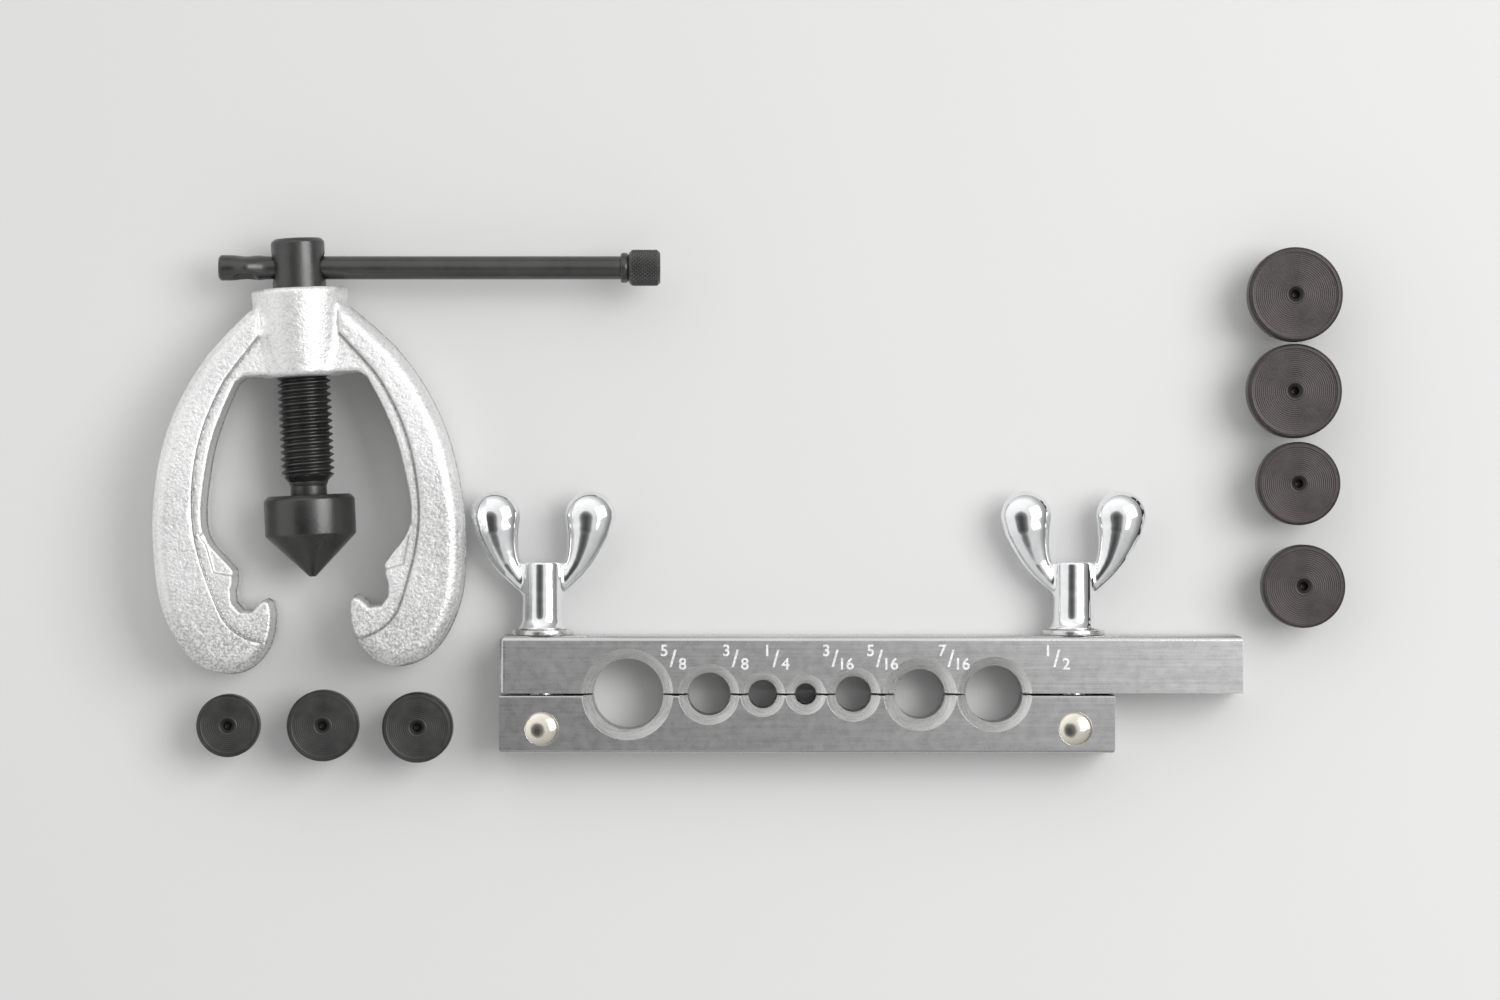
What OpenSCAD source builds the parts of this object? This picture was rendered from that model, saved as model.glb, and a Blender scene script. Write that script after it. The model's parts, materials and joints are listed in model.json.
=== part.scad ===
// Flaring tool for soft metal tube, laid out flat on a bench: a two-jaw flaring bar closed by two
// wing nuts, a slip-on yoke with its feed screw, T-bar and loose flaring cone, and seven adapters
// for double flares. Millimetres. Z is up, the flaring bar runs along X, and the origin is on the
// bench under the middle of the layout.

/* [Flaring bar] */
// Length of the long jaw, whose end sticks out as a handle
long_jaw_length = 166.2; // [160:0.2:170]
// Length of the short jaw, which drops away when the nuts are turned
short_jaw_length = 137.6; // [134:0.2:140]
// Height of each jaw, measured across the parting line
jaw_height = 12.9; // [12.7:0.1:13.3]
// Thickness of both jaws, along the tube
bar_thickness = 14; // [14:0.5:16]
// Gap left between the closed jaws
jaw_gap = 0.4; // [0.3:0.1:0.6]
// Width of the bright chamfer along the outer edges
edge_chamfer = 0.9; // [0.4:0.1:1.2]

/* [Wing nuts] */
// Nominal diameter of the two swing bolts
bolt_diameter = 6; // [5.6:0.1:6]
// Height of the wing nut barrel above its washer
barrel_height = 15.2; // [14:0.2:16]
// Distance from the bolt axis to the tip of a wing
wing_reach = 16.4; // [15.6:0.1:16.4]
// Height of the wings above the washer
wing_height = 31.2; // [30:0.2:33]
// Thickness of a wing
wing_thickness = 5; // [4:0.2:6]

/* [Yoke] */
// Width over both arms
yoke_width = 69.6; // [67:0.2:69.8]
// Depth of the hooks and of the boss, front to back
yoke_depth = 22; // [21.6:0.2:24]
// Height of the threaded boss
boss_height = 19.9; // [18:0.1:20]
// Depth of the arms where they leave the boss
shoulder_depth = 15; // [14:0.5:18]
// Step between the thick rim and the thinner web, each side
web_step = 1.8; // [1:0.1:2.6]

/* [Feed screw and cone] */
// Major diameter of the feed screw
screw_diameter = 12; // [11.8:0.1:12]
// Height of the screw head above the boss
head_height = 11.1; // [10:0.1:13]
// Diameter of the flaring cone
cone_diameter = 20.4; // [19.6:0.2:21.4]
// Length of the straight side of the cone
cone_side = 8.9; // [8.7:0.1:9.6]

/* [T-bar] */
// Diameter of the sliding rod
rod_diameter = 5.2; // [4.8:0.1:5.4]
// Diameter of the knurled end
knob_diameter = 8.2; // [7.4:0.2:8.2]

/* [Adapters] */
// Thickness of the adapter discs
disc_thickness = 6; // [5:0.5:7]
// Length of the pilot stem under each disc
stem_length = 5; // [4:0.5:6]

/* [Hidden] */
$fn = 72;
parting_y = -43.3;
bar_left = -56.1;
bolt_left = -46.6;
bolt_right = 72.7;
bolt_z = bar_thickness / 2;
jaw_top = parting_y + jaw_gap / 2 + jaw_height;
pin_y = parting_y - 7.7;
washer_thickness = 1.2;
washer_top = jaw_top + washer_thickness;
tube_x = [-27.4, -9.2, 2.8, 12.4, 23.1, 38.0, 54.6];
tube_diameter = [15.88, 9.53, 6.35, 4.76, 7.94, 11.11, 12.7];
seat_diameter = [20.4, 13.6, 10.0, 9.0, 12.1, 16.3, 16.8];
yoke_x = -100.9;
yoke_y = 47.6;
yoke_turn = 2.6;
axis_z = yoke_depth / 2;
rod_y = 52.1;
rod_fit = 1.3;
neck_diameter = 8.2;
cone_top = -46.4;
cone_tip = cone_top - cone_side - (cone_diameter / 2 - 0.8);
width_scale = yoke_width / 69.6;
adapter_x = [122.0, 121.8, 122.7, 123.8, -116.9, -95.7, -74.5];
adapter_y = [46.1, 24.5, 3.8, -19.2, -50.4, -50.4, -50.8];
adapter_disc = [21.2, 21.2, 18.7, 18.7, 14.1, 16.0, 15.8];
adapter_nose = [15.2, 12.1, 10.6, 9.0, 4.6, 6.0, 7.5];
adapter_stem = [12.9, 10.2, 8.8, 7.2, 3.0, 4.2, 5.6];

// ---- helpers ----

// One point of a smooth curve between b and c
function curve_point(a, b, c, d, t) =
    0.5 * (2 * b + (c - a) * t + (2 * a - 5 * b + 4 * c - d) * t * t
    + (3 * b - a - 3 * c + d) * t * t * t);

// A smooth curve through the points p, with n steps between neighbours
function smooth(p, n) = concat(
    [for (i = [0 : len(p) - 2]) for (j = [0 : n - 1])
        curve_point(p[max(i - 1, 0)], p[i], p[i + 1], p[min(i + 2, len(p) - 1)], j / n)],
    [p[len(p) - 1]]);

// Points on an arc from angle a to angle b
function arc(cx, cy, r, a, b, n) =
    [for (i = [0 : n]) [cx + r * cos(a + (b - a) * i / n), cy + r * sin(a + (b - a) * i / n)]];

// Stands a round part up along Y, with its axis at height z
module along_y(x, y, z) {
    translate([x, y, z])
        rotate([-90, 0, 0])
            children();
}

// Puts a yoke part in place: its own Y axis is the screw axis and its own zero is the boss top
module in_yoke() {
    translate([yoke_x, yoke_y, axis_z])
        rotate([0, 0, yoke_turn])
            children();
}

// ---- flaring bar ----

// A bar along X from low to high, chamfered along one side only
module jaw_bar(length, low, high, chamfer_low, chamfer_high) {
    a = chamfer_low;
    b = chamfer_high;
    t = bar_thickness;
    intersection() {
        translate([bar_left, 0, 0])
            rotate([90, 0, 90])
                linear_extrude(height = length)
                    polygon([
                        [low + a, 0], [high - b, 0], [high, b], [high, t - b],
                        [high - b, t], [low + a, t], [low, t - a], [low, a]
                    ]);
        translate([0, 0, -1])
            linear_extrude(height = t + 2)
                polygon([
                    [bar_left + a, low], [bar_left + length - a, low],
                    [bar_left + length, low + a], [bar_left + length, high - b],
                    [bar_left + length - b, high], [bar_left + b, high],
                    [bar_left, high - b], [bar_left, low + a]
                ]);
    }
}

// Tube holes with their flaring seats
module tube_holes() {
    for (i = [0 : 6]) {
        seat_depth = (seat_diameter[i] - tube_diameter[i]) / 2;
        translate([tube_x[i], parting_y, -1])
            cylinder(h = bar_thickness + 2, d = tube_diameter[i]);
        translate([tube_x[i], parting_y, bar_thickness - seat_depth])
            cylinder(h = seat_depth + 0.01, d1 = tube_diameter[i], d2 = seat_diameter[i] + 0.02);
    }
}

module long_jaw() {
    low = parting_y + jaw_gap / 2;
    color([0.72, 0.72, 0.70])
        difference() {
            jaw_bar(long_jaw_length, low, low + jaw_height, 0, edge_chamfer);
            tube_holes();
            along_y(bolt_left, low - 1, bolt_z)
                cylinder(h = jaw_height + 2, d = 7.2);
            translate([bar_left - 1, low - 1, bolt_z - 3.6])
                cube([bolt_left - bar_left + 1, jaw_height + 2, 7.2]);
            along_y(bolt_right, low - 1, bolt_z)
                cylinder(h = jaw_height + 2, d = 7.2);
        }
}

module short_jaw() {
    high = parting_y - jaw_gap / 2;
    color([0.70, 0.70, 0.68])
        difference() {
            jaw_bar(short_jaw_length, high - jaw_height, high, edge_chamfer, 0);
            tube_holes();
            for (x = [bolt_left, bolt_right]) {
                translate([x - 5.1, high - jaw_height - 1, bolt_z - 4.1])
                    cube([10.2, jaw_height + 2, 8.2]);
                translate([x, pin_y, -1])
                    cylinder(h = bar_thickness + 2, d = 5.04);
            }
        }
}

module washer_at(x) {
    color([0.80, 0.80, 0.78])
        along_y(x, jaw_top, bolt_z)
            difference() {
                cylinder(h = washer_thickness, d = 14);
                translate([0, 0, -1])
                    cylinder(h = washer_thickness + 2, d = 7.2);
            }
}

module left_washer() {
    washer_at(bolt_left);
}

module right_washer() {
    washer_at(bolt_right);
}

// Turned barrel of a wing nut, standing on zero
module nut_barrel() {
    bore = bolt_diameter / 2 + 0.05;
    rotate_extrude()
        polygon([
            [bore, 0], [5.8, 0], [5.8, 0.9], [5.0, 2.4], [4.7, 5], [4.5, barrel_height - 0.8],
            [4.1, barrel_height], [bore, barrel_height]
        ]);
}

// Outline of one wing, in the plane through the bolt axis
module wing_outline() {
    r = 5.7;
    cx = wing_reach - r;
    cy = wing_height - r;
    polygon(concat(
        [[4.2, 12.2], [5.3, 14.3], [6.1, 17.6], [5.9, 20.6]],
        arc(cx, cy, r, 195, -22, 20),
        smooth([[14.1, cy - 6.0], [11.8, 15.8], [8.1, 10.8], [4.2, 7.2]], 4)));
}

module wing_nut_at(x) {
    color([0.86, 0.87, 0.88])
        union() {
            along_y(x, washer_top + 0.02, bolt_z)
                nut_barrel();
            for (side = [0, 1]) {
                translate([x, washer_top + 0.02, bolt_z - wing_thickness / 2])
                    mirror([side, 0, 0])
                        linear_extrude(height = wing_thickness)
                            wing_outline();
            }
        }
}

module left_wing_nut() {
    wing_nut_at(bolt_left);
}

module right_wing_nut() {
    wing_nut_at(bolt_right);
}

// Eye bolt hanging on its pin in the short jaw
module swing_bolt_at(x) {
    top = washer_top + barrel_height - 0.8;
    color([0.66, 0.66, 0.65])
        difference() {
            union() {
                along_y(x, pin_y, bolt_z)
                    cylinder(h = top - pin_y - 0.8, d = bolt_diameter);
                along_y(x, top - 0.8, bolt_z)
                    cylinder(h = 0.8, d1 = bolt_diameter, d2 = bolt_diameter - 1.4);
                translate([x, pin_y, bolt_z - 3.8])
                    cylinder(h = 7.6, d = 9.6);
            }
            translate([x, pin_y, -1])
                cylinder(h = bar_thickness + 2, d = 5.04);
        }
}

module left_swing_bolt() {
    swing_bolt_at(bolt_left);
}

module right_swing_bolt() {
    swing_bolt_at(bolt_right);
}

// Pivot pin with a polished domed head on the upper face
module pivot_pin_at(x) {
    dome = 1.3;
    dome_r = (3.8 * 3.8 + dome * dome) / (2 * dome);
    color([0.85, 0.84, 0.78])
        union() {
            translate([x, pin_y, 0.1])
                cylinder(h = bar_thickness - 0.1, d = 5);
            translate([x, pin_y, bar_thickness])
                rotate_extrude()
                    polygon(concat([[0, 0], [3.8, 0]],
                        [for (i = [1 : 8])
                            let (r = 3.8 * (8 - i) / 8)
                            [r, dome - dome_r + sqrt(dome_r * dome_r - r * r)]]));
        }
}

module left_pivot_pin() {
    pivot_pin_at(bolt_left);
}

module right_pivot_pin() {
    pivot_pin_at(bolt_right);
}

// ---- yoke ----

// Outer edge of one arm, from the boss down and round the hook to its tip
arm_outer = concat(
    [[8, -3.2], [11.2, -4.6], [16.3, -9.2]],
    smooth([
        [21, -14], [25.8, -20.8], [30.0, -29.1], [32.7, -37.6], [34.4, -47.6], [34.8, -56],
        [34.2, -66.3], [32.5, -73.3], [29, -80], [24.5, -84.1], [18.7, -85.7], [14.2, -84.5],
        [10.8, -81.2], [8.9, -77], [8.3, -72.6]
    ], 3));
arm_tip = [[8.7, -69.8], [9.9, -68.9]];

// Groove in the hook that takes the lower edge of the bar, then the step above it
arm_notch = [[11.4, -69.6], [13.3, -71.5], [15.4, -71.3], [16.9, -69.6], [17.1, -67.0],
    [16.5, -65.2], [16.5, -62.3]];

// Inner edge of one arm, up to the underside of the boss
arm_inner = smooth([
    [18.9, -59.4], [21.2, -56.7], [22.6, -53.5], [22.8, -49], [22.0, -43], [20.2, -34.7],
    [17.2, -26.9], [14.3, -21.0]
], 3);
arm_crotch = [[12.6, -19.8], [0, -19.8]];

// Crease between the thick rim and the thin web, from the hook back up to the boss
arm_crease = smooth([
    [9.6, -78.6], [12.2, -78.4], [16.1, -76.6], [19.4, -73], [22.1, -65.8], [24.2, -58.4],
    [25.1, -50], [24.4, -40.5], [22.6, -32.7], [20, -26.2], [16.3, -19.6], [9, -10.8]
], 2);

// Front-to-back shape of the arms: shallow at the boss, full depth at the hooks
module depth_profile(loss) {
    a = shoulder_depth / 2 - loss;
    b = yoke_depth / 2 - loss;
    translate([-50, 0, 0])
        rotate([90, 0, 90])
            linear_extrude(height = 100)
                polygon(concat(
                    smooth([[0, a], [-12, a], [-26, a + 0.55 * (b - a)], [-46, b]], 4),
                    [[-90, b], [-90, -b]],
                    smooth([[-46, -b], [-26, -a - 0.55 * (b - a)], [-12, -a], [0, -a]], 4)));
}

module arm_web() {
    linear_extrude(height = 60, center = true)
        polygon(concat([[0, -3.2]], arm_outer, arm_tip, arm_notch, arm_inner, arm_crotch));
}

module arm_rim() {
    linear_extrude(height = 60, center = true)
        polygon(concat(arm_outer, arm_crease));
}

module yoke() {
    boss_top = yoke_depth - 0.1;
    boss_low = yoke_depth - 4.0;
    color([0.78, 0.78, 0.76])
        in_yoke()
            difference() {
                union() {
                    rotate([90, 0, 0])
                        rotate_extrude()
                            polygon([
                                [0, 0.15], [boss_top / 2 - 1.35, 0.15], [boss_top / 2, 1.2],
                                [boss_low / 2, boss_height - 0.5],
                                [boss_low / 2 - 0.5, boss_height], [0, boss_height]
                            ]);
                    for (side = [0, 1]) {
                        mirror([side, 0, 0])
                            scale([width_scale, 1, 1])
                                intersection() {
                                    arm_web();
                                    depth_profile(web_step);
                                }
                        mirror([side, 0, 0])
                            scale([width_scale, 1, 1])
                                intersection() {
                                    arm_rim();
                                    depth_profile(0);
                                }
                    }
                }
                translate([0, 1, 0])
                    rotate([90, 0, 0])
                        cylinder(h = boss_height + 4, d = screw_diameter + 0.1);
            }
}

// ---- feed screw, cone and T-bar ----

module feed_screw() {
    r = screw_diameter / 2;
    n = neck_diameter / 2;
    color([0.16, 0.15, 0.14])
        difference() {
            in_yoke()
                rotate([-90, 0, 0])
                    rotate_extrude()
                        polygon([
                            [0, -51.9], [n - 0.4, -51.9], [n, -51.5], [n, -49.6], [3.3, -49.6],
                            [3.3, -48.4], [n, -48.4], [n, -43.6], [r - 0.7, -43.6],
                            [r, -42.9], [r, head_height - 0.9], [r - 0.9, head_height],
                            [0, head_height]
                        ]);
            in_yoke()
                translate([-12, rod_y - yoke_y, 0])
                    rotate([0, 90, 0])
                        cylinder(h = 24, d = rod_diameter + rod_fit);
        }
}

module flaring_cone() {
    r = cone_diameter / 2;
    bore = neck_diameter / 2 + 0.05;
    low = cone_top - cone_side;
    color([0.13, 0.12, 0.11])
        in_yoke()
            rotate([-90, 0, 0])
                difference() {
                    rotate_extrude()
                        polygon([
                            [0, cone_tip], [0.8, cone_tip], [r, low], [r, cone_top - 1],
                            [r - 1, cone_top], [bore, cone_top], [bore, -48.15], [5.05, -48.15],
                            [5.05, -49.85], [bore, -49.85], [bore, -52.4], [0, -52.4]
                        ]);
                    translate([0, 0, -53.95])
                        sphere(r = 2.05);
                    translate([0, 0, -53.95])
                        cylinder(h = 2, r = 2.05);
                }
}

module thrust_ball() {
    color([0.75, 0.76, 0.78])
        in_yoke()
            translate([0, -53.95, 0])
                sphere(r = 2.0);
}

module retaining_ring() {
    color([0.35, 0.35, 0.36])
        in_yoke()
            rotate([-90, 0, 0])
                translate([0, 0, -49.5])
                    difference() {
                        cylinder(h = 1.0, r = 4.99);
                        translate([0, 0, -1])
                            cylinder(h = 3, r = 3.36);
                        translate([0, -0.8, -1])
                            cube([6, 1.6, 3]);
                    }
}

module t_bar_rod() {
    r = rod_diameter / 2;
    color([0.17, 0.16, 0.15])
        translate([0, rod_y, axis_z])
            union() {
                translate([-118.9, 0, 0])
                    rotate([0, 90, 0])
                        cylinder(h = 92.0, r = r);
                intersection() {
                    translate([-116.6, -2.2, -10])
                        cube([8.2, 4.4, 20]);
                    translate([-112.5, 5, 0])
                        rotate([90, 0, 0])
                            cylinder(h = 10, r = 4.1);
                }
            }
}

module t_bar_knob() {
    r = rod_diameter / 2;
    k = knob_diameter / 2;
    color([0.19, 0.18, 0.17])
        translate([-29.0, rod_y, axis_z])
            rotate([0, 90, 0])
                rotate_extrude()
                    polygon([
                        [r + 0.02, 0], [3.1, 0], [3.4, 0.3], [3.4, 1.7], [k - 0.6, 1.7], [k, 2.3],
                        [k, 8.2], [k - 0.7, 8.9], [0, 8.9], [0, 2.2], [r + 0.02, 2.2]
                    ]);
}

// ---- adapters ----

// Disc with a centre mark on top, a nose and a pilot stem below
module adapter_at(i) {
    d = adapter_disc[i] / 2;
    n = adapter_nose[i] / 2;
    s = adapter_stem[i] / 2;
    low = stem_length;
    mid = stem_length + 2;
    high = stem_length + 2 + disc_thickness;
    color([0.20, 0.18, 0.16])
        translate([adapter_x[i], adapter_y[i], 0])
            rotate_extrude()
                polygon([
                    [0, 0], [s - 0.4, 0], [s, 0.4], [s, low], [n - 0.3, low],
                    [n, low + 0.3], [n, mid], [d - 0.6, mid], [d, mid + 0.6], [d, high - 0.5],
                    [d - 0.5, high], [1.95, high], [1.0, high - 0.95], [1.0, high - 3.2],
                    [0, high - 3.6]
                ]);
}

module adapter_5_8() {
    adapter_at(0);
}

module adapter_1_2() {
    adapter_at(1);
}

module adapter_7_16() {
    adapter_at(2);
}

module adapter_3_8() {
    adapter_at(3);
}

module adapter_3_16() {
    adapter_at(4);
}

module adapter_1_4() {
    adapter_at(5);
}

module adapter_5_16() {
    adapter_at(6);
}

// ---- one line for each node ----

long_jaw();
short_jaw();
left_washer();
right_washer();
left_wing_nut();
right_wing_nut();
left_swing_bolt();
right_swing_bolt();
left_pivot_pin();
right_pivot_pin();
yoke();
feed_screw();
flaring_cone();
thrust_ball();
retaining_ring();
t_bar_rod();
t_bar_knob();
adapter_5_8();
adapter_1_2();
adapter_7_16();
adapter_3_8();
adapter_3_16();
adapter_1_4();
adapter_5_16();
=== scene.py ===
# Looks of the flaring tool: flaring bar, slip-on yoke with feed screw and cone, and seven adapters.
# Lengths are in millimetres inside the helpers, and metres once a piece is made.
import bpy
import bmesh
import json
import math
import numpy as np
from mathutils import Matrix, Vector


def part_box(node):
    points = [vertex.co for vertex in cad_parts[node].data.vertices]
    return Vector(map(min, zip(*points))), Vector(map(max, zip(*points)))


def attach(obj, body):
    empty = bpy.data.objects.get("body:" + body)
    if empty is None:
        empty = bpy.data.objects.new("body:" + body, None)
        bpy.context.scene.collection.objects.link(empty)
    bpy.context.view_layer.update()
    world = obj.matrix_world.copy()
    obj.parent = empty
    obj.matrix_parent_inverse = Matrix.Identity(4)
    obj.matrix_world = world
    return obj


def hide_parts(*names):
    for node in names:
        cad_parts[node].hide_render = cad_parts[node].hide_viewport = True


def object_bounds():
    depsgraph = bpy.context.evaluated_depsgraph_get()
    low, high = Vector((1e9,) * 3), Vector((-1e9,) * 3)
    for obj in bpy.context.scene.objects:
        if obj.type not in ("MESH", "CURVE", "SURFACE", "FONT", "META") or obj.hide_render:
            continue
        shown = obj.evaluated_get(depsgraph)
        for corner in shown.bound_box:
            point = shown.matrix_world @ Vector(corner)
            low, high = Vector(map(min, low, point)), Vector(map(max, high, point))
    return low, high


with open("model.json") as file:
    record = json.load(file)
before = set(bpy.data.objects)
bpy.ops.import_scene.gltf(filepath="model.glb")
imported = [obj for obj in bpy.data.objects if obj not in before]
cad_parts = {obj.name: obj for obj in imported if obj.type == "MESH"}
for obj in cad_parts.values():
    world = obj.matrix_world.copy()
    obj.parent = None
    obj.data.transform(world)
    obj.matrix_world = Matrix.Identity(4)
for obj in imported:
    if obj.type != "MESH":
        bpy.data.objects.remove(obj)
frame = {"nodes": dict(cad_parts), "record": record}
cad_lo, cad_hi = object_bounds()
MM = 0.001


# ---------------------------------------------------------------- mesh helpers

def finish_mesh(name, verts, faces, mat, matrix=None, angle=32, smooth=True):
    """Makes a shaded object from vertices in metres. Edges past angle degrees stay sharp."""
    me = bpy.data.meshes.new(name)
    me.from_pydata([tuple(v) for v in verts], [], [tuple(f) for f in faces])
    me.update()
    ob = bpy.data.objects.new(name, me)
    bpy.context.scene.collection.objects.link(ob)
    if matrix is not None:
        ob.matrix_world = matrix
    if mat is not None:
        me.materials.append(mat)
    shade(ob, angle, smooth)
    return ob


def shade(ob, angle=32, smooth=True):
    me = ob.data
    me.polygons.foreach_set("use_smooth", [smooth] * len(me.polygons))
    if smooth:
        me.set_sharp_from_angle(angle=math.radians(angle))
    me.update()


def bake(ob):
    """Applies the modifiers of ob to its mesh."""
    dg = bpy.context.evaluated_depsgraph_get()
    me = bpy.data.meshes.new_from_object(ob.evaluated_get(dg))
    ob.modifiers.clear()
    ob.data = me
    return ob


def cut(ob, *tools):
    """Cuts the tools out of ob and removes them."""
    for t in tools:
        m = ob.modifiers.new("cut", "BOOLEAN")
        m.operation = "DIFFERENCE"
        m.solver = "EXACT"
        m.object = t
    bake(ob)
    for t in tools:
        bpy.data.objects.remove(t)
    return ob


def soften(ob, width, angle):
    """Bevels every edge of ob that is sharper than angle degrees, width mm wide."""
    m = ob.modifiers.new("edges", "BEVEL")
    m.width = width * MM
    m.segments = 2
    m.limit_method = "ANGLE"
    m.angle_limit = math.radians(angle)
    m.use_clamp_overlap = True
    bake(ob)


def join(name, obs):
    """Joins meshes into one object named name, keeping the first one's place."""
    first = obs[0]
    bm = bmesh.new()
    mats = []
    inv = first.matrix_world.inverted()
    for o in obs:
        start = len(bm.faces)
        me = o.data.copy()
        me.transform(inv @ o.matrix_world)
        bm.from_mesh(me)
        bm.faces.ensure_lookup_table()
        for f in bm.faces[start:]:
            m = o.data.materials[f.material_index]
            if m not in mats:
                mats.append(m)
            f.material_index = mats.index(m)
    out = bpy.data.meshes.new(name)
    bm.to_mesh(out)
    bm.free()
    for m in mats:
        out.materials.append(m)
    ob = bpy.data.objects.new(name, out)
    bpy.context.scene.collection.objects.link(ob)
    ob.matrix_world = first.matrix_world.copy()
    for o in obs:
        bpy.data.objects.remove(o)
    return ob


def rounded(profile, r=0.25, n=3):
    """Rounds the inner corners of an open profile with short curves."""
    out = [profile[0]]
    for a, b, c in zip(profile, profile[1:], profile[2:]):
        a, b, c = np.array(a, float), np.array(b, float), np.array(c, float)
        la, lc = np.linalg.norm(a - b), np.linalg.norm(c - b)
        t = min(r, la * 0.45, lc * 0.45)
        p, q = b + (a - b) / la * t, b + (c - b) / lc * t
        for i in range(n + 1):
            s = i / n
            out.append(tuple((1 - s) ** 2 * p + 2 * s * (1 - s) * b + s * s * q))
    out.append(profile[-1])
    return out


def lathe_arrays(profile, segs=96):
    """Turns a profile of (radius, height) about Z. Radius 0 closes on the axis."""
    verts, rings, faces = [], [], []
    for r, z in profile:
        if r <= 1e-6:
            rings.append([len(verts)])
            verts.append((0, 0, z * MM))
        else:
            rings.append(list(range(len(verts), len(verts) + segs)))
            for i in range(segs):
                a = 2 * math.pi * i / segs
                verts.append((r * math.cos(a) * MM, r * math.sin(a) * MM, z * MM))
    for lo, hi in zip(rings, rings[1:]):
        for i in range(segs):
            j = (i + 1) % segs
            if len(lo) == 1 and len(hi) == 1:
                continue
            if len(lo) == 1:
                faces.append((lo[0], hi[j], hi[i]))
            elif len(hi) == 1:
                faces.append((lo[i], lo[j], hi[0]))
            else:
                faces.append((lo[i], lo[j], hi[j], hi[i]))
    return verts, faces


def turned(name, profile, mat, matrix, segs=96, r=0.25, n=3, closed=False, angle=32):
    """A turned piece whose profile corners are rounded to r mm. A closed profile makes a ring."""
    p = rounded(profile, r, n) if r else list(profile)
    if closed:
        p.append(p[0])
    verts, faces = lathe_arrays(p, segs)
    ob = finish_mesh(name, verts, faces, mat, matrix, angle)
    if closed:
        bm = bmesh.new()
        bm.from_mesh(ob.data)
        bmesh.ops.remove_doubles(bm, verts=bm.verts, dist=1e-7)
        bm.to_mesh(ob.data)
        bm.free()
        shade(ob, angle)
    return ob


def grid_turned(name, z0, z1, rows, cols, radius, mat, matrix, ends=(True, True), angle=180):
    """A turned skin whose radius is radius(theta, z), in arrays, with flat ends."""
    zs = np.linspace(z0, z1, rows)
    th = np.arange(cols) * 2 * math.pi / cols
    T, Z = np.meshgrid(th, zs)
    R = radius(T, Z)
    P = np.stack([R * np.cos(T), R * np.sin(T), Z], -1).reshape(-1, 3) * MM
    i, j = np.meshgrid(np.arange(rows - 1), np.arange(cols), indexing="ij")
    k = (j + 1) % cols
    F = np.stack([i * cols + j, i * cols + k, (i + 1) * cols + k, (i + 1) * cols + j], -1)
    faces = F.reshape(-1, 4).tolist()
    verts = P.tolist()
    for flag, row, flip in ((ends[0], 0, True), (ends[1], rows - 1, False)):
        if flag:
            c = len(verts)
            verts.append([0, 0, zs[row] * MM])
            for a in range(cols):
                b = (a + 1) % cols
                f = [row * cols + a, row * cols + b, c]
                faces.append(f[::-1] if flip else f)
    return finish_mesh(name, verts, faces, mat, matrix, angle)


def smooth_points(p, n):
    """A smooth curve through the points, with n steps between neighbours."""
    p = [np.array(q, float) for q in p]
    out = []
    for i in range(len(p) - 1):
        a, b, c, d = p[max(i - 1, 0)], p[i], p[i + 1], p[min(i + 2, len(p) - 1)]
        for j in range(n):
            t = j / n
            out.append(0.5 * (2 * b + (c - a) * t + (2 * a - 5 * b + 4 * c - d) * t * t
                              + (3 * b - a - 3 * c + d) * t ** 3))
    out.append(p[-1])
    return out


# ---------------------------------------------------------------- distance fields

def polygon_distance(U, V, poly):
    """Signed distance to a closed outline, negative inside."""
    P = np.array(poly, float)
    best = np.full(U.shape, 1e9)
    inside = np.zeros(U.shape, bool)
    for a, b in zip(P, np.roll(P, -1, 0)):
        e = b - a
        L = e @ e
        if L < 1e-12:
            continue
        t = np.clip(((U - a[0]) * e[0] + (V - a[1]) * e[1]) / L, 0, 1)
        best = np.minimum(best, (U - a[0] - t * e[0]) ** 2 + (V - a[1] - t * e[1]) ** 2)
        hit = (a[1] > V) != (b[1] > V)
        if abs(e[1]) > 1e-12:
            inside ^= hit & (U < a[0] + (V - a[1]) / e[1] * e[0])
    d = np.sqrt(best)
    return np.where(inside, -d, d)


def line_distance(U, V, pts):
    """Distance to an open line of points."""
    P = np.array(pts, float)
    best = np.full(U.shape, 1e9)
    for a, b in zip(P[:-1], P[1:]):
        e = b - a
        t = np.clip(((U - a[0]) * e[0] + (V - a[1]) * e[1]) / (e @ e), 0, 1)
        best = np.minimum(best, (U - a[0] - t * e[0]) ** 2 + (V - a[1] - t * e[1]) ** 2)
    return np.sqrt(best)


def blend_min(a, b, k):
    h = np.clip(0.5 + 0.5 * (b - a) / k, 0, 1)
    return b + (a - b) * h - k * h * (1 - h)


def blend_max(a, b, k):
    return -blend_min(-a, -b, k)


def block(a, b, r):
    """Intersection of two distances with its edge rounded to radius r."""
    x, y = a + r, b + r
    return (np.minimum(np.maximum(x, y), 0)
            + np.sqrt(np.maximum(x, 0) ** 2 + np.maximum(y, 0) ** 2) - r)


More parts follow.
